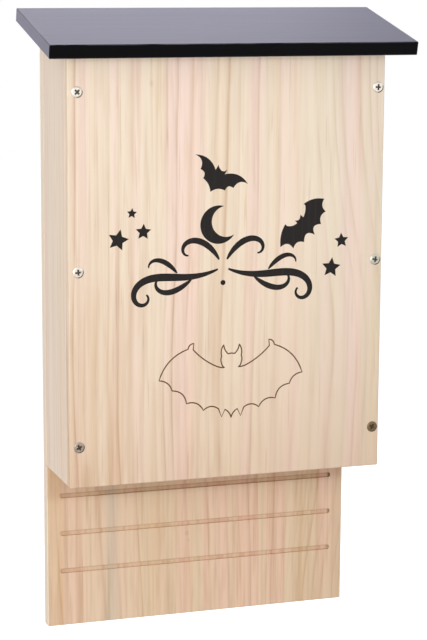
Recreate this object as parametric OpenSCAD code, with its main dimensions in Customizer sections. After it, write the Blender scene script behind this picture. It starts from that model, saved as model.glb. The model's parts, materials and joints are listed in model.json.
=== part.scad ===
// Bat box for a wall: a front and a back board screwed to two side boards,
// with a grooved partition inside, a landing board below and a sloping lid.
// The back lies on the XZ plane and the front faces -Y. The origin is the
// centre of the keyhole's entry circle, on the back face, where it hangs.

/* [Box] */
// Width of the box across its boards
box_w = 240; // [180:1:320]
// Height of the front board at its front face
box_h = 313; // [230:1:420]
// Depth of the chamber between the front and the back board
chamber_depth = 60; // [46:1:90]
// Thickness of the front board
front_t = 10; // [8:0.5:16]
// Thickness of the back board
back_t = 10; // [8:0.5:16]
// Thickness of each side board
side_t = 12; // [10:0.5:18]
// Width taken off each open arris
ease = 0.6; // [0.2:0.1:1.2]

/* [Lid] */
// Slope of the lid down to the front, in degrees
lid_slope = 13; // [4:0.5:25]
// Thickness of the lid
lid_t = 10; // [8:0.5:16]
// How far the lid stands out past each side
lid_side_overhang = 17.5; // [5:0.5:35]
// How far the lid stands out past the front board
lid_front_overhang = 18; // [5:0.5:40]
// Gap that the paint film leaves between the lid and the edges of the boards
lid_gap = 0.05; // [0:0.01:0.2]

/* [Landing board and grooves] */
// How far the back board reaches below the box
landing_h = 126; // [90:1:180]
// Width of a routed groove
groove_w = 3.6; // [2:0.2:6]
// Depth of a routed groove
groove_depth = 1.6; // [1:0.1:3]
// Distance from one groove to the next
groove_pitch = 29.5; // [15:0.5:40]
// Drop from the lower edge of the box to the first groove below it
groove_drop = 24; // [12:0.5:30]
// Number of grooves below the box
landing_grooves = 3; // [1:1:3]
// Margin from the end of a groove to the side of its board
groove_margin = 10; // [7:0.5:20]

/* [Roost partition] */
// Thickness of the partition
partition_t = 8; // [6:0.5:12]
// Height of its lower edge above the lower edge of the box
partition_lift = 30; // [10:1:60]
// Gap left for the bats between its upper edge and the lid
partition_top_gap = 22; // [12:1:50]
// Depth of the slots in the side boards that hold it
slot_depth = 3; // [2:0.5:5]
// Play of the partition in each slot
slot_gap = 0.2; // [0.1:0.05:0.5]

/* [Hanging keyhole] */
// Drop from the top of the back board to the centre of the entry circle
hang_drop = 41; // [30:1:100]
// Radius of the entry circle
hang_r = 5; // [4:0.25:7]
// Width of the slot above the entry circle
hang_slot_w = 4.6; // [3:0.2:6]
// Height of the slot's upper end above the centre of the entry circle
hang_slot_rise = 12; // [9:0.5:16]

/* [Screws] */
// Length of a screw
screw_l = 30; // [20:1:34]
// Radius of a screw's shank
screw_r = 1.9; // [1.4:0.1:2.4]
// Radius of a screw's head
screw_head_r = 4; // [3:0.1:4.6]
// Height of the low dome on the head
screw_dome = 0.4; // [0.2:0.1:0.8]
// Depth of the cross recess in the head
recess_depth = 2; // [1:0.1:2.4]
// Width of the four arms of the cross recess
recess_w = 1.4; // [0.6:0.1:1.6]
// Radius that the cross recess reaches at the top
recess_r = 2.3; // [1.5:0.1:2.6]
// Drop from the top of the front board to the highest screws
screw_drop = 28; // [18:1:60]
// Height of the lowest screws above the lower edge of the box
screw_rise = 30; // [15:1:60]
// Screws in each row up the box
screw_rows = 3; // [2:1:5]
// How far all the screws sit to the right of the middle of the side boards
screw_shift = 1; // [-1.5:0.5:1.5]
// Play of screws and brads in their holes
fit_gap = 0.1; // [0.05:0.05:0.3]

/* [Lid brads] */
// Length of a brad
brad_l = 26; // [20:1:32]
// Radius of a brad
brad_r = 0.8; // [0.5:0.1:1.2]
// Filler and paint over a brad's upper end
brad_cover = 1.5; // [0.8:0.1:3]
// Distance from the outer brads to the ends of the side board that they hold
brad_inset = 12; // [8:1:18]
// Brads along each side board
brads_per_side = 3; // [2:1:4]

/* [Hidden] */
$fn = 48;
pine = "burlywood";
pine_inside = "tan";
black_paint = "dimgray";
zinc = "silver";
// How far a cutter runs past the face that it opens
past = 2;
// Depth of the whole box, wall to front face
box_depth = front_t + chamber_depth + back_t;
// Places along Y of the boards' front faces
front_y = -box_depth;
side_y = front_y + front_t;
back_y = -back_t;
// Height of the lower edge of the box, and of the landing board's
bottom_z = hang_drop - box_h - box_depth * tan(lid_slope);
landing_z = bottom_z - landing_h;
// Length of the lid along its slope
lid_l = (box_depth + lid_front_overhang) / cos(lid_slope);
lid_w = box_w + 2 * lid_side_overhang;
// Clear width between the side boards
inner_w = box_w - 2 * side_t;
partition_w = inner_w + 2 * (slot_depth - slot_gap);
partition_y = side_y + (chamber_depth - partition_t) / 2;
partition_z = bottom_z + partition_lift;
partition_h = roof_z(partition_y) - partition_top_gap - partition_z;
// Conical part of a screw's head, and of its point
head_cone = screw_head_r - screw_r;
head_rim = 0.3;
point_l = 2 * screw_r;
// A turn for the cross recess of each screw, so that no two in a row match
recess_turns = [45, 4, 28, 86, 80, 62];

// Height of the boards' sloping top edges at a place along Y
function roof_z(y) = bottom_z + box_h + (y - front_y) * tan(lid_slope);
// Height of the lid's own underside there
function lid_z(y) = roof_z(y) + lid_gap;
// Height of one row of screws, counted from the top
function screw_z(row) =
    bottom_z + screw_rise + (box_h - screw_drop - screw_rise) * (1 - row / (screw_rows - 1));
// Number of grooves that fit between two heights
function groove_count(low, high) = floor((high - low) / groove_pitch) + 1;
// Half outline of a screw below the top of its head: grow widens it into its hole
function screw_outline(grow) = [
    [screw_head_r + grow, 0],
    [screw_head_r + grow, -head_rim],
    [screw_r + grow, -head_rim - head_cone],
    [screw_r + grow, point_l - screw_l],
    [0, -screw_l - grow]
];

// A flat outline stood up and run along X, along Y or along Z
module along_x(l) { rotate([90, 0, 90]) linear_extrude(l) children(); }
module along_y(l) { translate([0, l, 0]) rotate([90, 0, 0]) linear_extrude(l) children(); }
module along_z(l) { linear_extrude(l) children(); }

// Rectangle with its lower corners eased, and its upper ones too unless square_top
module eased_rectangle(w, h, square_top = false) {
    top = square_top ? 0 : ease;
    polygon([[ease, 0], [w - ease, 0], [w, ease], [w, h - top],
        [w - top, h], [top, h], [0, h - top], [0, ease]]);
}

// Board with every arris eased
module flat_board(w, t, h) {
    intersection() {
        along_x(w) eased_rectangle(t, h);
        along_y(t) eased_rectangle(w, h);
        along_z(h) eased_rectangle(w, t);
    }
}

// Board with its top edge bevelled to the lid: h is the height of its front face
module sloped_board(w, t, h) {
    back_h = h + t * tan(lid_slope);
    intersection() {
        along_x(w) polygon([[ease, 0], [t - ease, 0], [t, ease], [t, back_h], [0, h], [0, ease]]);
        along_y(t) eased_rectangle(w, back_h, square_top = true);
        along_z(back_h) eased_rectangle(w, t);
    }
}

// Cutter for one groove with round ends, across X, sunk into a face at y = 0 that faces -Y
module routed_groove(l) {
    run = l - groove_w;
    translate([0, groove_depth, 0]) rotate([90, 0, 0]) {
        for (side = [-1, 1])
            translate([side * run / 2, 0, 0]) cylinder(d = groove_w, h = groove_depth + past);
        translate([-run / 2, -groove_w / 2, 0]) cube([run, groove_w, groove_depth + past]);
    }
}

// Cutters for a ladder of grooves that starts at z = 0
module groove_ladder(l, count) {
    for (i = [0 : count - 1]) translate([0, 0, i * groove_pitch]) routed_groove(l);
}

// Puts its children at each front screw, with +Z out of the front face
module at_front_screws() {
    for (side = [0, 1], row = [0 : screw_rows - 1]) {
        $turn = recess_turns[(side * screw_rows + row) % len(recess_turns)];
        x = (side - 0.5) * (box_w - side_t) + screw_shift;
        translate([x, front_y, screw_z(row)]) rotate([90, 0, 0]) children();
    }
}

// Puts its children at each back screw, with +Z out of the back face, sunk until the domes clear it
module at_back_screws() {
    translate([0, -box_depth - screw_dome, 0]) mirror([0, 1, 0]) at_front_screws() children();
}

// Puts its children at each brad's upper end, with +Z square to the lid
module at_brads() {
    step = (chamber_depth - 2 * brad_inset) / (brads_per_side - 1);
    for (side = [-1, 1], i = [0 : brads_per_side - 1]) {
        y = side_y + brad_inset + i * step;
        translate([side * (box_w - side_t) / 2, y, lid_z(y)]) rotate([lid_slope, 0, 0])
            translate([0, 0, lid_t - brad_cover]) children();
    }
}

// Flat-headed wood screw with a low dome and a cross recess, its head's edge at z = 0
module screw() {
    difference() {
        rotate_extrude()
            polygon(concat([[0, screw_dome], [screw_head_r - 2 * screw_dome, screw_dome]], screw_outline(0)));
        rotate([0, 0, $turn]) cross_recess();
    }
}

// Cutter for the cross recess: two crossed bars inside a cone
module cross_recess() {
    bar = [4 * recess_r, recess_w, recess_depth + 2 * past];
    translate([0, 0, screw_dome - recess_depth]) intersection() {
        cylinder(r1 = recess_w / 2, r2 = recess_r, h = recess_depth + 0.01);
        union() {
            for (turn = [0, 90])
                rotate([0, 0, turn]) translate([-bar.x / 2, -bar.y / 2, -past]) cube(bar);
        }
    }
}

// Cutter for a screw's hole: its own outline with play, open at the top
module screw_hole() {
    rotate_extrude()
        polygon(concat([[0, past], [screw_head_r + fit_gap, past]], screw_outline(fit_gap)));
}

// Brad with its upper end at z = 0, and the cutter for its hole
module brad(grow = 0) {
    wide = brad_r + grow;
    rotate_extrude() polygon([[0, 0], [wide, 0], [wide, 2 * brad_r - brad_l], [0, -brad_l - grow]]);
}

module front_panel() {
    color(pine) difference() {
        translate([-box_w / 2, front_y, bottom_z]) sloped_board(box_w, front_t, box_h);
        at_front_screws() screw_hole();
    }
}

// Keyhole: round entry with a narrow slot above it, right through the back board
module keyhole() {
    rotate([90, 0, 0]) translate([0, 0, -past]) {
        through = back_t + 2 * past;
        cylinder(r = hang_r, h = through);
        translate([0, hang_slot_rise, 0]) cylinder(d = hang_slot_w, h = through);
        translate([-hang_slot_w / 2, 0, 0]) cube([hang_slot_w, hang_slot_rise, through]);
    }
}

module back_panel() {
    lowest = bottom_z - groove_drop - (landing_grooves - 1) * groove_pitch;
    highest = -hang_r - groove_pitch / 3;
    color(pine) difference() {
        translate([-box_w / 2, back_y, landing_z])
            sloped_board(box_w, back_t, roof_z(back_y) - landing_z);
        translate([0, back_y, lowest])
            groove_ladder(box_w - 2 * groove_margin, groove_count(lowest, highest));
        keyhole();
        at_back_screws() screw_hole();
    }
}

// Left side board, with the slot that holds the partition
module side_board() {
    slot_w = partition_t + 2 * slot_gap;
    difference() {
        translate([-box_w / 2, side_y, bottom_z])
            sloped_board(side_t, chamber_depth, roof_z(side_y) - bottom_z);
        translate([-inner_w / 2 - slot_depth, partition_y - slot_gap, partition_z])
            cube([slot_depth + past, slot_w, box_h + box_depth]);
    }
}

// A side board with its holes for the screws and the brads
module bored() {
    difference() {
        children();
        at_front_screws() screw_hole();
        at_back_screws() screw_hole();
        at_brads() brad(fit_gap);
    }
}

module side_left() { color(pine) bored() side_board(); }

module side_right() { color(pine) bored() mirror([1, 0, 0]) side_board(); }

module roost_partition() {
    ladder_z = groove_pitch / 2;
    count = groove_count(ladder_z, partition_h - ladder_z);
    groove_l = partition_w - 2 * groove_margin;
    color(pine_inside) translate([0, partition_y, partition_z]) difference() {
        translate([-partition_w / 2, 0, 0]) flat_board(partition_w, partition_t, partition_h);
        translate([0, 0, ladder_z]) groove_ladder(groove_l, count);
        translate([0, partition_t, ladder_z]) mirror([0, 1, 0]) groove_ladder(groove_l, count);
    }
}

module lid() {
    color(black_paint) difference() {
        translate([-lid_w / 2, 0, lid_z(0)]) rotate([lid_slope, 0, 0])
            translate([0, -lid_l, 0]) flat_board(lid_w, lid_l, lid_t);
        at_brads() brad(fit_gap);
    }
}

module front_screws() { color(zinc) at_front_screws() screw(); }

module back_screws() { color(zinc) at_back_screws() screw(); }

module lid_brads() { color(zinc) at_brads() brad(); }

front_panel();
back_panel();
side_left();
side_right();
lid();
roost_partition();
front_screws();
back_screws();
lid_brads();
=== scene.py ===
"""Looks of a wall-hung wooden bat box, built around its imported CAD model.

Metres, +Z up, the front faces -Y and the back lies on the XZ plane.
The boards, the lid, the screws and the brads are the CAD nodes with procedural finishes.
The prints on the front board are thin new pieces.
"""

import json
import math

import bmesh
import bpy
from mathutils import Matrix, Vector

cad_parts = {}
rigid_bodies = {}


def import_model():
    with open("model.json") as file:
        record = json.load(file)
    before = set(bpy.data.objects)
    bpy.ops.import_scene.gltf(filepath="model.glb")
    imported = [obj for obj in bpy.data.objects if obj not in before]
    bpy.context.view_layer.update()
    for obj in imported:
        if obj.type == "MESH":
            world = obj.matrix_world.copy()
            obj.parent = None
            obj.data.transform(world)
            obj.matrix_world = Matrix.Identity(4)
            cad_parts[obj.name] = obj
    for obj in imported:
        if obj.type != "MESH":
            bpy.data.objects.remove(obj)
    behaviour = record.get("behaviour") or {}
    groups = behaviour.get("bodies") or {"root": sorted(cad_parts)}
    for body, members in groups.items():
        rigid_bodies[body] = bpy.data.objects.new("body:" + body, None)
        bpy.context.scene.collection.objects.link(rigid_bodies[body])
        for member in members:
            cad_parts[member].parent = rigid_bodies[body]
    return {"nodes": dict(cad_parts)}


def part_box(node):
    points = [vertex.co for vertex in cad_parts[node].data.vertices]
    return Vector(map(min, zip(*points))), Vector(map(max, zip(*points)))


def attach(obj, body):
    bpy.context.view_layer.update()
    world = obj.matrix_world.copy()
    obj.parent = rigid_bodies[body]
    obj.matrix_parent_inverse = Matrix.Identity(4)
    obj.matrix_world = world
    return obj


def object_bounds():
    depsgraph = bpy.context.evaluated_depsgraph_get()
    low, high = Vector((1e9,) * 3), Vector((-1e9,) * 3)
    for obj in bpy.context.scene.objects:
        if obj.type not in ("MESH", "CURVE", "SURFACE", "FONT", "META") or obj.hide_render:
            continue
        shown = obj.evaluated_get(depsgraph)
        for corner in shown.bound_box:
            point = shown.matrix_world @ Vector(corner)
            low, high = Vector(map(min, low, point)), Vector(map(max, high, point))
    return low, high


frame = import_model()
cad_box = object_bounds()

MM = 0.001
FRONT_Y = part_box("front_panel")[0].y


# Shader maths and small node helpers

class Value:
    """A socket in a node tree: an expression on it adds the Math nodes."""

    def __init__(self, graph, socket):
        self.graph = graph
        self.socket = socket

    def math(self, operation, *others):
        return self.graph.node("ShaderNodeMath", {"operation": operation}, dict(enumerate((self, *others))))

    def reflected(self, operation, other):
        return self.graph.node("ShaderNodeMath", {"operation": operation}, {0: other, 1: self})

    def __add__(self, other):
        return self.math("ADD", other)

    def __sub__(self, other):
        return self.math("SUBTRACT", other)

    def __mul__(self, other):
        return self.math("MULTIPLY", other)

    def __pow__(self, other):
        return self.math("POWER", other)

    def __rsub__(self, other):
        return self.reflected("SUBTRACT", other)

    def __rpow__(self, other):
        return self.reflected("POWER", other)

    __radd__ = __add__
    __rmul__ = __mul__


def srgb(code):
    """Linear opaque colour of a hex code such as f4dfc5."""
    parts = [int(code[i:i + 2], 16) / 255 for i in (0, 2, 4)]
    return (*[p / 12.92 if p <= 0.04045 else ((p + 0.055) / 1.055) ** 2.4 for p in parts], 1.0)


class Graph:
    """A node tree, emptied, and the one method that adds any node to it."""

    def __init__(self, tree):
        self.tree = tree
        tree.nodes.clear()

    def plug(self, socket, value):
        if isinstance(value, Value):
            self.tree.links.new(value.socket, socket)
        else:
            socket.default_value = value

    def node(self, kind, settings=None, inputs=None, output=0):
        """Any node: its settings are set first, then the values or links of its sockets.

        The setting named stops holds a ramp's places and grey levels.
        """
        made = self.tree.nodes.new(kind)
        for name, setting in (settings or {}).items():
            if name == "stops":
                ramp = made.color_ramp
                while len(ramp.elements) < len(setting):
                    ramp.elements.new(0.5)
                for element, (at, level) in zip(ramp.elements, setting):
                    element.position = at
                    element.color = (level, level, level, 1.0)
            else:
                setattr(made, name, setting)
        for socket, value in (inputs or {}).items():
            self.plug(made.inputs[socket], value)
        return Value(self, made.outputs[output]) if made.outputs else None


class Finish(Graph):
    """One material, made node by node on Object coordinates."""

    def __init__(self, name, **constants):
        self.material = bpy.data.materials.new(name)
        self.material.use_nodes = True
        super().__init__(self.material.node_tree)
        surface = self.node("ShaderNodeBsdfPrincipled")
        self.shader = surface.socket.node
        self.node("ShaderNodeOutputMaterial", inputs={"Surface": surface})
        self.place = self.node("ShaderNodeTexCoord", output="Object")
        self.feed(**constants)

    def feed(self, **sockets):
        """Sets or links the shader's own sockets, with _ for a space in a socket's name."""
        for socket, value in sockets.items():
            self.plug(self.shader.inputs[socket.replace("_", " ")], value)

    def vector(self, operation, a, b, output=0):
        return self.node("ShaderNodeVectorMath", {"operation": operation}, {0: a, 1: b}, output)

    def axis(self, letter, vector=None):
        return self.node("ShaderNodeSeparateXYZ", inputs={0: vector or self.place}, output=letter)

    def normal(self):
        return self.node("ShaderNodeNewGeometry", output="Normal")

    def noise(self, vector, scale=1.0, detail=2.0, roughness=0.5, output="Fac"):
        inputs = {"Vector": vector, "Scale": scale, "Detail": detail, "Roughness": roughness}
        return self.node("ShaderNodeTexNoise", inputs=inputs, output=output)

    def stretched_noise(self, stretch, **settings):
        """Noise with so many waves per metre along X, Y and Z."""
        return self.noise(self.vector("MULTIPLY", self.place, stretch), **settings)

    def band(self, value, low, high, smooth=True):
        """0 below low, 1 above high and a smooth rise between: low above high turns it round."""
        settings = {"interpolation_type": "SMOOTHSTEP" if smooth else "LINEAR"}
        rising = low < high
        inputs = {"Value": value, "From Min": min(low, high), "From Max": max(low, high),
                  "To Min": 0.0 if rising else 1.0, "To Max": 1.0 if rising else 0.0}
        return self.node("ShaderNodeMapRange", settings, inputs)

    def mix(self, factor, a, b):
        settings = {"data_type": "RGBA", "blend_type": "MIX", "clamp_factor": True}
        return self.node("ShaderNodeMix", settings, {0: factor, 6: a, 7: b}, 2)

    def tint(self, factor, body, filter_colour):
        """The body's colour seen through a filter, where the factor says."""
        return self.mix(factor, body, self.vector("MULTIPLY", body, filter_colour))

    def bump(self, height, strength, distance):
        inputs = {"Height": height, "Strength": strength, "Distance": distance}
        self.feed(Normal=self.node("ShaderNodeBump", inputs=inputs))


# Bare pine

# How dark the wood is through one year's growth, from its early wood to its late wood
YEAR = [(0.0, 0.18), (0.15, 0.0), (0.52, 0.06), (0.77, 0.5), (0.89, 1.0), (1.0, 0.18)]
# How far the growth lines wander in long waves and quiver in short ones
WANDER = 34.0 * MM
QUIVER = 2.4 * MM
# Tan streaks between the growth lines: waves per metre across and along, detail, start, end, depth
FINE_STREAKS = [(150.0, 5.0, 2.0, 0.46, 0.70, 0.27), (420.0, 8.0, 2.0, 0.5, 0.7, 0.17),
                (300.0, 22.0, 1.0, 0.52, 0.7, 0.15)]
# Filters that the wood's colour is multiplied by
YELLOWER = (1.0, 0.975, 0.91)
FIBRE_SHADE = (0.92, 0.89, 0.86)
PORE_SHADE = (0.72, 0.62, 0.53)
END_SHADE = (0.86, 0.78, 0.68)


def streak_maker(wood, seed):
    """Makes noise stretched along the grain, begun at a place of the board's own."""
    shifted = wood.vector("ADD", wood.place, (seed * 3.1, seed * 1.7, seed * 2.3))

    def streaks(across, along, detail=2.0, roughness=0.5, output="Fac"):
        """So many waves per metre across the grain and along it."""
        stretched = wood.vector("MULTIPLY", shifted, (across, across, along))
        return wood.noise(stretched, 1.0, detail, roughness, output)
    return streaks


def growth_lines(wood, streaks, pith, lean, ring, seed, sweep):
    """How much late wood a point has, and how strong its year's line is, both from 0 to 1."""
    half = (0.5, 0.5, 0.5)
    wander = wood.vector("SUBTRACT", streaks(7.0, 2.2, 1.5, output="Color"), half)
    quiver = wood.vector("SUBTRACT", streaks(46.0, 7.0, output="Color"), half)
    moved = wood.vector("ADD", wood.place, wood.vector("MULTIPLY", wander, (WANDER, WANDER, 0.0)))
    moved = wood.vector("ADD", moved, wood.vector("MULTIPLY", quiver, (QUIVER, QUIVER, 0.0)))
    height = wood.axis("Z", moved)
    across = wood.axis("X", moved) - pith[0] - height * lean[0]
    deep = wood.axis("Y", moved) - pith[1] - height * lean[1]
    if sweep:
        side, fall, reach = sweep
        across = across - wood.band(wood.axis("X"), *side) * wood.band(height, *fall) * reach
    radius = (across * across + deep * deep) ** 0.5
    uneven = wood.node("ShaderNodeTexNoise", {"noise_dimensions": "1D"},
                       {"W": radius + seed, "Scale": 34.0, "Detail": 1.0})
    years = radius * (1.0 / ring) + uneven * 2.4
    profile = wood.node("ShaderNodeValToRGB", {"stops": YEAR}, {0: years.math("FRACT")})
    year = years.math("FLOOR") + seed * 10.0
    vigour = wood.node("ShaderNodeTexWhiteNoise", {"noise_dimensions": "1D"}, {"W": year})
    broken = wood.band(streaks(70.0, 13.0), 0.32, 0.62)
    return profile * (0.2 + vigour * 0.8) * (0.35 + broken * 0.65), vigour


def pine(name, pith, lean, ring, tones, seed, contrast=1.0, lines=0.72, sweep=None, quiet=None, marks=()):
    """Bare pine, its grain along Z, cut from a log whose pith runs past the board.

    pith is where the pith crosses z = 0, lean its slope along X and Y, ring the width of a year's growth.
    tones are the early wood's cream and pink and the late wood's tan.
    contrast is how dark the fine streaks are, and lines how dark the late wood is.
    sweep carries the lines sideways: (start and end along X), (start and end along Z), how far.
    quiet is where along X the grain grows fainter, from its start to its end.
    marks are the board's own features: each takes the finish and its colour so far.
    """
    cream, pink, tan = (srgb(tone) for tone in tones)
    wood = Finish(name, Specular_IOR_Level=0.25)
    streaks = streak_maker(wood, seed)
    late_wood, vigour = growth_lines(wood, streaks, pith, lean, ring, seed, sweep)
    force = 1.0 - wood.band(wood.axis("X"), *quiet) * 0.5 if quiet else 1.0
    fibre = streaks(900.0, 26.0, 2.0, 0.6)
    hair = streaks(1500.0, 60.0, 1.0)

    blush = wood.band(streaks(62.0, 1.8) + (vigour - 0.5) * 0.1, 0.36, 0.64)
    body = wood.mix(blush, cream, pink)
    body = wood.tint(wood.band(streaks(88.0, 2.2, 1.0), 0.5, 0.66) * 0.55, body, YELLOWER)
    body = wood.mix(wood.band(streaks(24.0, 1.3, 1.0), 0.5, 0.72) * (0.07 * contrast), body, tan)
    for across, along, detail, start, end, depth in FINE_STREAKS:
        streak = wood.band(streaks(across, along, detail), start, end)
        body = wood.mix(streak * (force * (depth * contrast)), body, tan)
    body = wood.mix(late_wood * (force * lines), body, tan)
    body = wood.tint(fibre * 0.55, body, FIBRE_SHADE)
    body = wood.tint(wood.band(streaks(620.0, 16.0, 1.0), 0.68, 0.75) * 0.35, body, PORE_SHADE)
    for mark in marks:
        body = mark(wood, body)
    wood.feed(Base_Color=body, Roughness=0.54 + fibre * 0.12 + late_wood * 0.06)
    wood.bump(fibre * 0.5 + late_wood * 0.7 + hair * 0.3, 0.3, 0.00022)
    return wood.material


def end_grain(wood, body, where=1.0):
    """The lower and upper ends of a board drink more light than its faces."""
    upright = wood.axis("Z", wood.normal()).math("ABSOLUTE")
    return wood.tint(wood.band(upright, 0.5, 0.9) * (where * 0.8), body, END_SHADE)


def foot_shade_and_tones(wood, body):
    """The front board is darker to its foot in painted shade and warmer there in tone, redder at the lower
    left and cooler on the right.
    """
    x = wood.axis("X")
    z = wood.axis("Z")
    # Painted shade for the light falling off down the board, with a warmer wood tone at the foot.
    foot = wood.band(z, 0.0, -0.29, smooth=False) ** 2.0
    body = wood.tint(foot, body, (0.84, 0.77, 0.715))
    stripes = wood.band(wood.stretched_noise((95.0, 95.0, 2.5), detail=1.0), 0.42, 0.62)
    lower_left = wood.band(x, -0.068, -0.092) * wood.band(z, -0.12, -0.22)
    body = wood.tint(lower_left * stripes * 0.7, body, (0.94, 0.85, 0.76))
    right_side = wood.band(x, 0.04, 0.09)
    body = wood.tint(right_side, body, (0.965, 0.995, 1.005))
    right_edge = wood.band(x, 0.1, 0.108)
    return wood.tint(right_edge, body, (0.96, 0.95, 0.93))


def sawn_face(wood, body):
    """Faint bands across the grain, left by the saw."""
    kerf = wood.node("ShaderNodeTexWave", {"bands_direction": "Z"},
                     {"Vector": wood.place, "Scale": 90.0, "Distortion": 3.0, "Detail": 2.0})
    return wood.tint(kerf * 0.25, body, (0.8, 0.76, 0.7))


def fleck(x, z, width, height, depth=0.5, hollow=0.3, soft=0.75):
    """A mark maker: a brown fleck or pin knot at a place on the front face, in metres.

    hollow is where its pale middle ends and soft where its rim begins to fade, as shares of its size.
    """
    def mark(wood, body):
        off_x = (wood.axis("X") - x) * (1.0 / width)
        off_z = (wood.axis("Z") - z) * (1.0 / height)
        away = (off_x * off_x + off_z * off_z) ** 0.5
        front = wood.band(wood.axis("Y", wood.normal()), -0.3, -0.7)
        stain = wood.band(away, 1.0, soft) * wood.band(away, hollow - 0.01, hollow + 0.35) * front
        return wood.tint(stain * depth, body, (0.72, 0.58, 0.44))
    return mark


# The back board, whose lower part is the landing board

# Middles of a grey streak and of a seam at the left edge
GREY_STREAK_X = -69.5 * MM
LEFT_SEAM_X = -109.5 * MM
# The grooves as the CAD model has them: pitch, height of the first one under the box, and width
GROOVE_PITCH = 29.5 * MM
FIRST_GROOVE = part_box("front_panel")[0].z - 24.0 * MM
GROOVE_WIDTH = 3.6 * MM
# Just past the grooves' ends, and the grooved face
GROOVE_END = 110.5 * MM
BACK_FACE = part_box("back_panel")[0].y


def edge_tones(wood, body):
    """The landing board has a grey streak, a yellower left, a darker right and paler long edges."""
    x = wood.axis("X")
    wavy = wood.stretched_noise((0.0, 0.0, 16.0))
    from_streak = (x - GREY_STREAK_X).math("ABSOLUTE") + wavy * 0.006
    low = wood.band(wood.axis("Z"), -0.2, -0.28)
    body = wood.tint(wood.band(from_streak, 0.013, 0.003) * low, body, (0.855, 0.928, 0.955))
    body = wood.tint(wood.band(x, -0.106, -0.113) * 0.6, body, (0.97, 0.95, 0.86))
    from_seam = (x - LEFT_SEAM_X).math("ABSOLUTE") + wavy * 0.002
    body = wood.tint(wood.band(from_seam, 0.0034, 0.0014) * 0.5, body, (0.92, 0.82, 0.66))
    right_side = wood.band(x, 0.093, 0.1) * wood.band(x, 0.1145, 0.1125)
    body = wood.tint(right_side, body, (0.965, 0.955, 0.945))
    right_rim = wood.band(x, 0.1125, 0.1145)
    body = wood.tint(right_rim, body, (1.005, 1.045, 1.1))
    sideways = wood.axis("X", wood.normal()).math("ABSOLUTE")
    return wood.mix(wood.band(sideways, 0.4, 0.7) * 0.92, body, srgb("f3e3cf"))


def routed(wood, body):
    """The board's ends drink light, and its grooves are dark along the top in painted shadow and dark brown
    at the right end.

    line counts the grooves upwards from the first one under the box, and off is how far a point lies above
    the middle of the nearest one, in groove widths. The box's shadow on the first groove and on what is
    above it is painted shade. The grooves outside the box have a darker rim above them, fuzzy fibres with
    painted shade, and the first one has a rim of painted shade below too.
    """
    x = wood.axis("X")
    from_middle = x.math("ABSOLUTE")
    line = (wood.axis("Z") - FIRST_GROOVE) * (1.0 / GROOVE_PITCH)
    off = (line - line.math("ROUND")) * (GROOVE_PITCH / GROOVE_WIDTH)
    away = off.math("ABSOLUTE")
    depth = wood.axis("Y") - BACK_FACE
    front = wood.band(depth, 0.8 * MM, 0.3 * MM)
    inside = wood.band(from_middle, GROOVE_END + MM, GROOVE_END) * wood.band(away, 0.7, 0.6)
    cut = wood.band(depth, 0.2 * MM, 0.7 * MM) * wood.band(depth, 4.8 * MM, 3.2 * MM) * inside
    # shaded rises to the right, where the painted shade under the box is full.
    shaded = wood.band(x, -0.088, -0.072)
    first = wood.band(line, -0.7, -0.3) * shaded

    body = end_grain(wood, body, 1.0 - cut)
    body = wood.tint(cut, body, (0.96, 0.94, 0.92))
    # Painted shadow of the grooves' upper edges on their floors.
    body = wood.tint(cut * wood.band(off, 0.05, 0.4) * 0.8, body, (0.78, 0.7, 0.63))
    # Painted shade in the lower part of the first groove, under the box.
    body = wood.tint(cut * wood.band(off, -0.3, -0.46) * first * 0.5, body, (0.88, 0.83, 0.78))

    along = wood.band(from_middle, GROOVE_END, GROOVE_END - 1.5 * MM)
    open_grooves = wood.band(line, 0.5, 0.4) * wood.band(line, -2.5, -2.4)
    # A darker rim by the grooves on the face: fuzzy fibres with painted shade above them, and painted shade
    # only below the first one.
    rim = wood.band(away, 0.66, 0.52) * along * open_grooves * front
    rim = rim * wood.band(off, -0.1, 0.1).math("MAXIMUM", first)
    body = wood.tint(rim * 0.6, body, (0.84, 0.78, 0.72))

    # Painted shadow of the box on the board under it.
    near_box = wood.band(line, 1.4, 0.9)
    box_shadow = wood.band(line, -0.25, 0.1) * near_box * (0.77 + shaded * 0.23)
    body = wood.tint(box_shadow * (front * 0.6).math("MAXIMUM", cut), body, (0.73, 0.64, 0.57))
    # Painted shade reaching further down at the right under the box.
    right_corner_shade = wood.band(x, 0.06, 0.09) * wood.band(line, -0.8, -0.1) * near_box
    body = wood.tint(right_corner_shade * front.math("MAXIMUM", cut), body, (0.93, 0.92, 0.935))

    # The grooves are dark brown at their right ends.
    dark_right_ends = wood.band(x, 107.2 * MM, 109.6 * MM) * wood.band(line, -3.8, 0.4, smooth=False)
    return wood.mix(cut * dark_right_ends * 0.78, body, srgb("4a3020"))


# Paint, metal and ink

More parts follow.
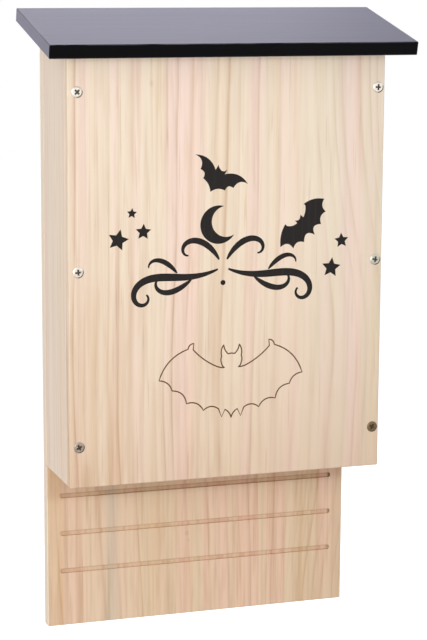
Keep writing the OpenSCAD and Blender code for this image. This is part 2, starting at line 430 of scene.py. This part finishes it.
def satin_black():
    """Satin black paint on wood: faint grain, side edges greyer in a painted reflection, and upper arrises
    paler in patches, a painted highlight with worn paint.
    """
    paint = Finish("satin_black_paint", Specular_IOR_Level=0.06, Sheen_Weight=0.66, Sheen_Roughness=0.35,
                   Sheen_Tint=(0.765, 0.755, 1.0, 1.0))
    grain = paint.stretched_noise((9.0, 340.0, 340.0), detail=3.0, roughness=0.6)
    mottle = paint.noise(paint.place, 46.0, 3.0)
    body = paint.mix(paint.band(grain, 0.5, 0.8) * 0.6, srgb("070708"), srgb("121215"))
    # The side edges are greyer: a painted reflection.
    sideways = paint.axis("X", paint.normal()).math("ABSOLUTE")
    body = paint.mix(paint.band(sideways, 0.75, 0.9) * (0.6 + grain * 0.6), body, srgb("5d5b63"))
    rise = paint.axis("Z", paint.normal())
    # The upper arrises are paler in patches: a painted highlight on the eased edges, with worn paint.
    arris_highlight_and_wear = paint.band(rise, 0.35, 0.45) * paint.band(rise, 0.93, 0.88)
    body = paint.mix(arris_highlight_and_wear * paint.band(mottle, 0.3, 0.6) * 0.6, body, srgb("5c5c62"))
    paint.feed(Base_Color=body, Roughness=0.36 + grain * 0.12)
    paint.bump(grain * 0.7 + paint.noise(paint.place, 900.0) * 0.3, 0.25, 0.0002)
    return paint.material


def zinc_plate(name, face_y, inward, low_z, high_z):
    """Bright zinc with its cross recess, lower right edge and rim darkened in painted shade.

    face_y is where the rims of the heads lie and inward the way along Y into the wood.
    Above high_z the plate is bright, and greyer at the middle right. Below low_z it is darker in a painted
    darker reflection, and browner on the right.
    """
    metal = Finish(name, Metallic=0.9)
    depth = (metal.axis("Y") - face_y) * inward
    # The recess is darkened in painted shade.
    recess = metal.band(depth, -0.15 * MM, 0.35 * MM)
    # Painted shade on the heads' lower right flank and all around their rim.
    shade_facing = metal.vector("DOT_PRODUCT", metal.normal(), (0.8, 0.0, -0.6), output=1)
    edge = metal.band(shade_facing, 0.12, 0.34)
    rim = metal.band(metal.axis("Y", metal.normal()).math("ABSOLUTE"), 0.92, 0.6) * 0.35
    # The lower heads are darker: a painted darker reflection.
    lower_heads = metal.band(metal.axis("Z"), high_z, low_z, smooth=False)
    right = metal.band(metal.axis("X"), -0.02, 0.02)
    below_top = metal.band(metal.axis("Z"), -0.06, -0.1)
    cloud = metal.noise(metal.place, 700.0)
    turned = metal.stretched_noise((2600.0, 300.0, 2600.0), detail=1.0)
    bright = metal.mix(cloud, srgb("f8f1e6"), srgb("e0d7c9"))
    bright = metal.mix(right * below_top * 0.7, bright, srgb("b9bcab"))
    lower_tone = metal.mix(right, srgb("bcb0a3"), srgb("876f50"))
    body = metal.mix(lower_heads, bright, metal.mix(cloud * 0.6, lower_tone, srgb("6f6152")))
    body = metal.mix((edge * 0.85).math("MAXIMUM", rim), body, srgb("4a443b"))
    body = metal.mix(recess * 0.9, body, metal.mix(lower_heads, srgb("685f57"), srgb("6e6358")))
    metal.feed(Base_Color=body, Roughness=0.36 + lower_heads * 0.1 + turned * 0.14 + recess * 0.25)
    metal.bump(turned, 0.15, 0.0001)
    return metal.material


def ink(name, tone, thin):
    """Screen-print ink on bare wood: matt, and a little thinner along the grain."""
    film = Finish(name, Specular_IOR_Level=0.12)
    grain = film.stretched_noise((420.0, 420.0, 12.0), detail=3.0, roughness=0.6)
    body = film.mix(film.band(grain, 0.5, 0.75) * 0.6, srgb(tone), srgb(thin))
    body = film.mix(film.noise(film.place, 90.0) * 0.4, body, srgb(tone))
    film.feed(Base_Color=body, Roughness=0.6 + grain * 0.14)
    film.bump(grain, 0.25, 0.0001)
    return film.material


# The CAD nodes' finishes

# Where the rims of the back screws' heads lie, and a place behind every brad
BACK_HEADS_Y = -0.4 * MM
BEHIND_ALL = 1.0


def dress(node, material):
    """Gives one material to every slot of a CAD node."""
    shown = frame["nodes"][node]
    if not shown.material_slots:
        shown.data.materials.append(material)
    for slot in shown.material_slots:
        slot.material = material


def dress_front_board():
    upper_fleck = fleck(x=-0.0587, z=-0.0003, width=0.0022, height=0.004, depth=0.3, hollow=-0.5, soft=0.1)
    corner_stain = fleck(x=-0.108, z=-0.286, width=0.0055, height=0.022, depth=0.36, hollow=-0.5, soft=0.3)
    dress("front_panel", pine(
        "pine_front_board", pith=(-0.31, 0.13), lean=(0.012, 0.02), ring=0.0072,
        tones=("fbebd5", "ffe7da", "d2af8f"), seed=1.0, contrast=0.95, lines=0.88,
        sweep=((0.03, 0.12), (0.02, -0.22), 0.026), quiet=(-0.04, 0.06),
        marks=(end_grain, foot_shade_and_tones, upper_fleck, corner_stain)))


def dress_back_board():
    pin_knot = fleck(x=-0.0088, z=-0.352, width=0.0016, height=0.0019)
    small_knot = fleck(x=-0.0077, z=-0.3577, width=0.0013, height=0.0016, depth=0.3)
    dress("back_panel", pine(
        "pine_back_board", pith=(-0.24, 0.15), lean=(-0.015, 0.03), ring=0.0058,
        tones=("e9d1b2", "eeccb4", "bd9068"), seed=2.0, contrast=1.05, lines=0.45,
        sweep=((0.04, 0.1), (-0.3, -0.42), -0.016), marks=(edge_tones, routed, pin_knot, small_knot)))


def dress_side_boards():
    dress("side_left", pine(
        "pine_left_board", pith=(-0.02, -0.21), lean=(0.0, 0.02), ring=0.005,
        tones=("f6e6d3", "f2dccb", "d4b699"), seed=3.0, contrast=0.5, lines=0.3, marks=(end_grain,)))
    dress("side_right", pine(
        "pine_right_board", pith=(0.03, -0.19), lean=(0.0, -0.02), ring=0.0055,
        tones=("f5e5ce", "f1d9c5", "d2b08f"), seed=4.0, contrast=0.7, lines=0.5, marks=(end_grain,)))


def dress_partition():
    dress("roost_partition", pine(
        "sawn_pine_partition", pith=(0.05, 0.2), lean=(0.01, 0.0), ring=0.006,
        tones=("dcbf95", "d2ae86", "a97c52"), seed=5.0, contrast=1.1, lines=0.8,
        marks=(end_grain, sawn_face)))


def dress_screws_and_brads():
    """The front screws are darker low down in a painted darker reflection, the back screws bright, and the
    brads take that darker tone without a recess.
    """
    dress("front_screws", zinc_plate("zinc_plate_front", FRONT_Y, 1.0, low_z=-0.22, high_z=-0.16))
    dress("back_screws", zinc_plate("zinc_plate_back", BACK_HEADS_Y, -1.0, low_z=-2.0, high_z=-1.0))
    dress("lid_brads", zinc_plate("brad_wire", BEHIND_ALL, 1.0, low_z=1.0, high_z=2.0))


# Prints on the front board, drawn in millimetres from the frame's X and Z

# Half the thickness of a print
FILM = 0.05 * MM
# Shares of a star's radius and of a stroke's width: the star's inner corners and the stroke's ends
STAR_WAIST = 0.49
THIN_END = 0.24

# Closed shapes: the corners are x, z and the bulge of the side that follows
BAT_ABOVE = [(-26.0, -51.2, -.17), (-10.5, -62.7, 0), (-8.4, -59.2, .08), (-5.9, -63.6, 0),
             (-4.0, -64.0, .05), (-1.8, -62.9, 0), (-3.6, -66.1, -.17), (14.1, -73.6, .25),
             (3.0, -76.3, .33), (-3.4, -77.9, .15), (-14.5, -78.5, .11), (-20.0, -68.5, .3),
             (-22.0, -61.9, .26)]
BAT_BESIDE = [(57.5, -89.6, -.11), (73.6, -86.4, .22), (74.9, -95.7, .23), (71.4, -104.9, .42),
              (66.6, -112.6, .42), (58.2, -117.8, .25), (49.8, -122.2, .29), (39.8, -120.9, -.09),
              (43.3, -104.0, 0), (44.6, -105.4, .12), (52.6, -103.6, 0), (50.7, -101.5, .08),
              (53.6, -101.4, .05), (54.6, -100.2, 0), (55.2, -97.5, 0), (57.4, -99.4, .07),
              (58.9, -90.9, .05)]
# Stars: x, z, radius and lean in degrees
STARS = [(-73.3, -92.1, 3.9, 4), (-64.8, -105.7, 6.0, 3), (-83.6, -111, 8.0, 14), (87.7, -117.6, 5.7, -4),
         (79.8, -137.5, 7.6, 6)]
# The moon: x, z, radius, how far off the bite is, the bite's radius, and the way it lies in degrees
MOON = (-8.0, -102.5, 14.0, 6.4, 11.3, 20)
# Scrolls, right half: x, z, heading, length, curl at both ends, width, and where they are widest
SCROLLS_AT = (-4.5, -133.0)
SCROLLS = [(4.0, -2.0, -24, 92, 1.0, -15.5, 5.6, .9), (3.0, 5.0, 62, 44, -1.6, -17.5, 4.6, .8),
           (24.0, -8.5, -42, 38, 1.2, 18.0, 4.2, .8), (35.0, -3.5, 52, 28, -1.5, -17.0, 3.7, .8)]
DOT_DROP = 12.0
DOT_RADIUS = 1.9
# Right half of the bat in line, from the top of its head to its tail
LINE_BAT_AT = (2.4, -224.5)
LINE_WIDTH = 0.95
LINE_BAT = [(0, 27.0, .02), (2.6, 26.6, .1), (6.0, 33.4, -.12), (7.6, 25.0, -.1), (7.6, 19.8, -.12),
            (5.4, 16.4, .06), (12.5, 18.2, .05), (29.5, 31.0, 0), (29.0, 35.6, -.2), (33.4, 31.6, -.13),
            (55.5, 9.5, .17), (45.5, 1.5, .2), (34.5, -8.8, .2), (21.5, -14.6, .2), (9.8, -14.2, 0),
            (7.4, -20.4, 0), (4.8, -15.0, .12), (0, -21.5, 0)]


def outline(corners, steps=8):
    """Points of a closed shape: a corner's bulge bends the side that follows it to its right.

    The bend is as deep as that share of the side's length.
    """
    points = []
    for i, (x, z, bulge) in enumerate(corners):
        next_x, next_z, _ = corners[(i + 1) % len(corners)]
        count = steps if bulge else 1
        for k in range(count):
            t = k / count
            out = 4 * bulge * t * (1 - t)
            points.append((x + (next_x - x) * t + (next_z - z) * out,
                           z + (next_z - z) * t - (next_x - x) * out))
    return points


def arc(x, z, radius, start, end, steps=36):
    """Points on an arc, its start and end in degrees."""
    turns = [math.radians(start + (end - start) * k / steps) for k in range(steps + 1)]
    return [(x + radius * math.cos(a), z + radius * math.sin(a)) for a in turns]


def disc(x, z, radius, corners=24):
    """A round dot."""
    return arc(x, z, radius, 0, 360, corners)[:-1]


def star(x, z, radius, lean):
    """A five-pointed star."""
    points = []
    for k in range(10):
        turn = math.radians(36 * k + lean)
        reach = radius * (STAR_WAIST if k % 2 else 1)
        points.append((x + reach * math.sin(turn), z + reach * math.cos(turn)))
    return points


def crescent(x, z, radius, shift, inner, tilt):
    """A disc with a second one cut out of it, shift away towards tilt."""
    horn = math.degrees(math.acos((radius ** 2 + shift ** 2 - inner ** 2) / (2 * radius * shift)))
    bite = math.degrees(math.acos((radius ** 2 - shift ** 2 - inner ** 2) / (2 * inner * shift)))
    lean = math.radians(tilt)
    bite_x = x + shift * math.cos(lean)
    bite_z = z + shift * math.sin(lean)
    back = arc(x, z, radius, tilt + horn, tilt + 360 - horn)
    hollow = arc(bite_x, bite_z, inner, tilt - bite, tilt - 360 + bite)
    return back + hollow[1:-1]


def scroll(x, z, heading, length, curl_start, curl_end, steps=56):
    """A stroke that starts nearly straight and winds up: the curls are degrees per millimetre."""
    points = [(x, z)]
    step = length / steps
    for k in range(steps):
        share = ((k + 0.5) / steps) ** 3
        heading += (curl_start + (curl_end - curl_start) * share) * step
        x += math.cos(math.radians(heading)) * step
        z += math.sin(math.radians(heading)) * step
        points.append((x, z))
    return points


def both_sides(half):
    """A whole outline from its right half, which runs from the top of the centre line to its foot."""
    left = [(-half[i][0], half[i][1], half[i - 1][2]) for i in range(len(half) - 1, 0, -1)]
    return half[:-1] + left


def finish_print(name, build, material):
    """A finished print: closed, its normals outward, riding on the box."""
    bmesh.ops.remove_doubles(build, verts=build.verts, dist=1e-6)
    bmesh.ops.recalc_face_normals(build, faces=build.faces)
    mesh = bpy.data.meshes.new(name)
    build.to_mesh(mesh)
    build.free()
    piece = bpy.data.objects.new(name, mesh)
    bpy.context.scene.collection.objects.link(piece)
    mesh.materials.append(material)
    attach(piece, "root")


def fill(build, points):
    """Adds a filled shape as a thin film, half sunk in the front board's face."""
    corners = [build.verts.new((x * MM, FRONT_Y + FILM, z * MM)) for x, z in points]
    face = build.faces.new(corners)
    grown = bmesh.ops.extrude_face_region(build, geom=[face])
    moved = [v for v in grown["geom"] if isinstance(v, bmesh.types.BMVert)]
    bmesh.ops.translate(build, verts=moved, vec=(0, -2 * FILM, 0))
    flat = [f for f in build.faces if len(f.verts) > 4]
    bmesh.ops.triangulate(build, faces=flat)


def stroke(build, points, widths, closed=False):
    """Adds a pen stroke along points: a tapered round curve, made a mesh and pressed flat.

    The bevel is half a millimetre, so a point's radius factor is the stroke's width there.
    """
    curve = bpy.data.curves.new("pen", "CURVE")
    curve.dimensions = "3D"
    curve.bevel_depth = 0.5
    curve.bevel_resolution = 2
    curve.use_fill_caps = True
    line = curve.splines.new("POLY")
    line.points.add(len(points) - 1)
    line.use_cyclic_u = closed
    for dot, (x, z), width in zip(line.points, points, widths):
        dot.co = (x, 0, z, 1)
        dot.radius = width
    pen = bpy.data.objects.new("pen", curve)
    mesh = bpy.data.meshes.new_from_object(pen)
    widest = max(widths) / 2
    press = Matrix.Translation((0, FRONT_Y, 0)) @ Matrix.Diagonal((MM, FILM / widest, MM, 1))
    mesh.transform(press)
    build.from_mesh(mesh)
    for made, kind in ((pen, bpy.data.objects), (curve, bpy.data.curves), (mesh, bpy.data.meshes)):
        kind.remove(made)


def swell(count, width, lead):
    """Widths of a stroke that swells and thins out: lead below 1 puts its widest place early."""
    waves = [math.sin(math.pi * (k / (count - 1)) ** lead) for k in range(count)]
    return [width * (THIN_END + (1 - THIN_END) * wave) for wave in waves]


def print_shapes(name, shapes, material):
    """One print made of filled shapes."""
    build = bmesh.new()
    for points in shapes:
        fill(build, points)
    finish_print(name, build, material)


def print_scrolls(dark):
    """Pen scrolls, the same on both sides of a centre line, with a dot below."""
    centre_x, centre_z = SCROLLS_AT
    build = bmesh.new()
    for x, z, heading, length, start, end, width, lead in SCROLLS:
        points = scroll(x, z, heading, length, start, end)
        for side in (-1, 1):
            stroke(build, [(centre_x + side * px, centre_z + pz) for px, pz in points],
                   swell(len(points), width, lead))
    fill(build, disc(centre_x, centre_z - DOT_DROP, DOT_RADIUS))
    finish_print("print_scrolls", build, dark)


def print_bat_in_line(thin):
    """The outline of a bat, drawn with a thin even pen."""
    at_x, at_z = LINE_BAT_AT
    build = bmesh.new()
    points = [(x + at_x, z + at_z) for x, z in outline(both_sides(LINE_BAT))]
    stroke(build, points, [LINE_WIDTH] * len(points), closed=True)
    finish_print("print_bat_outline", build, thin)


def print_front():
    """The six prints, all in black ink but for the bat in line, which is brown."""
    dark = ink("black_ink", "282524", "3c342d")
    thin = ink("brown_line_ink", "664730", "80614a")
    print_shapes("print_bat_above", [outline(BAT_ABOVE)], dark)
    print_shapes("print_bat_beside", [outline(BAT_BESIDE)], dark)
    print_shapes("print_stars", [star(*place) for place in STARS], dark)
    print_shapes("print_moon", [crescent(*MOON)], dark)
    print_scrolls(dark)
    print_bat_in_line(thin)


# Studio

AMBIENT = 0.42
FLOOR_DROP = 0.35
FLOOR_REACH = 7.0
FLOOR_LIFT = 0.75
EYE_AT = (-0.48219, -1.47523, 0.08916)
EYE_TURN = (79.932, -0.293, -18.586)
FOCAL_LENGTH = 115.58
SENSOR_WIDTH = 36.0


def area_light(name, at, aim, size, radiance, colour=(1, 1, 1)):
    """A soft rectangular lamp whose face has the given radiance, hidden from the camera."""
    light = bpy.data.lights.new(name, "AREA")
    light.shape = "RECTANGLE"
    light.size, light.size_y = size
    light.energy = radiance * math.pi * size[0] * size[1]
    light.color = colour
    lamp = bpy.data.objects.new(name, light)
    bpy.context.scene.collection.objects.link(lamp)
    lamp.location = at
    lamp.rotation_euler = (Vector(aim) - Vector(at)).to_track_quat("-Z", "Y").to_euler()
    lamp.visible_camera = False


def studio():
    """Three soft lamps before the box, and one behind it that the lid's slope mirrors."""
    middle = (0.0, -0.08, -0.1)
    warm = (1.0, 0.988, 0.972)
    violet = (0.93, 0.9, 1.0)
    area_light("key", (-0.75, -1.45, 0.02), middle, size=(1.15, 0.75), radiance=4.55, colour=warm)
    area_light("fill", (1.5, -1.5, 0.1), middle, size=(1.2, 1.2), radiance=1.2)
    area_light("left_fill", (-1.7, -0.55, 0.1), middle, size=(1.2, 1.2), radiance=1.15)
    area_light("behind", (-0.055, 1.9, 0.95), (0, 0, 0), size=(2.1, 1.5), radiance=2.75, colour=violet)


def world():
    """White for the camera and for reflections, and a plain soft level as a lamp."""
    sky = bpy.data.worlds.new("studio")
    bpy.context.scene.world = sky
    sky.use_nodes = True
    graph = Graph(sky.node_tree)
    kinds = ("Camera", "Glossy", "Transmission")
    camera_ray, glossy_ray, clear_ray = (
        graph.node("ShaderNodeLightPath", output=f"Is {kind} Ray") for kind in kinds)
    seen = camera_ray.math("MAXIMUM", glossy_ray).math("MAXIMUM", clear_ray)
    level = AMBIENT + seen * (1.0 - AMBIENT)
    white = graph.node("ShaderNodeBackground", inputs={"Color": (1.0, 1.0, 1.0, 1.0), "Strength": level})
    graph.node("ShaderNodeOutputWorld", inputs={"Surface": white})


def floor():
    """Pale floor that takes the object's shadow and is lifted to white for the camera alone."""
    build = bmesh.new()
    bmesh.ops.create_grid(build, x_segments=1, y_segments=1, size=FLOOR_REACH)
    bmesh.ops.translate(build, verts=build.verts, vec=(0, 0, cad_box[0].z - FLOOR_DROP))
    mesh = bpy.data.meshes.new("floor")
    build.to_mesh(mesh)
    build.free()
    piece = bpy.data.objects.new("floor", mesh)
    bpy.context.scene.collection.objects.link(piece)
    pale = Finish("pale_floor", Base_Color=(0.7, 0.7, 0.7, 1.0), Roughness=0.9, Specular_IOR_Level=0.0,
                  Emission_Strength=1.0)
    seen = pale.node("ShaderNodeLightPath", output="Is Camera Ray")
    lift = (FLOOR_LIFT, FLOOR_LIFT, FLOOR_LIFT, 1.0)
    pale.feed(Emission_Color=pale.mix(seen, (0.0, 0.0, 0.0, 1.0), lift))
    mesh.materials.append(pale.material)


def camera():
    """A long lens to the left of the box and a little above it."""
    lens = bpy.data.cameras.new("camera")
    lens.sensor_width = SENSOR_WIDTH
    lens.lens = FOCAL_LENGTH
    lens.clip_end = 50.0
    eye = bpy.data.objects.new("camera", lens)
    bpy.context.scene.collection.objects.link(eye)
    eye.location = EYE_AT
    eye.rotation_euler = tuple(math.radians(a) for a in EYE_TURN)
    bpy.context.scene.camera = eye


dress_front_board()
dress_back_board()
dress_side_boards()
dress_partition()
dress("lid", satin_black())
dress_screws_and_brads()
print_front()
studio()
world()
floor()
camera()
bpy.context.scene.view_settings.view_transform = "Standard"
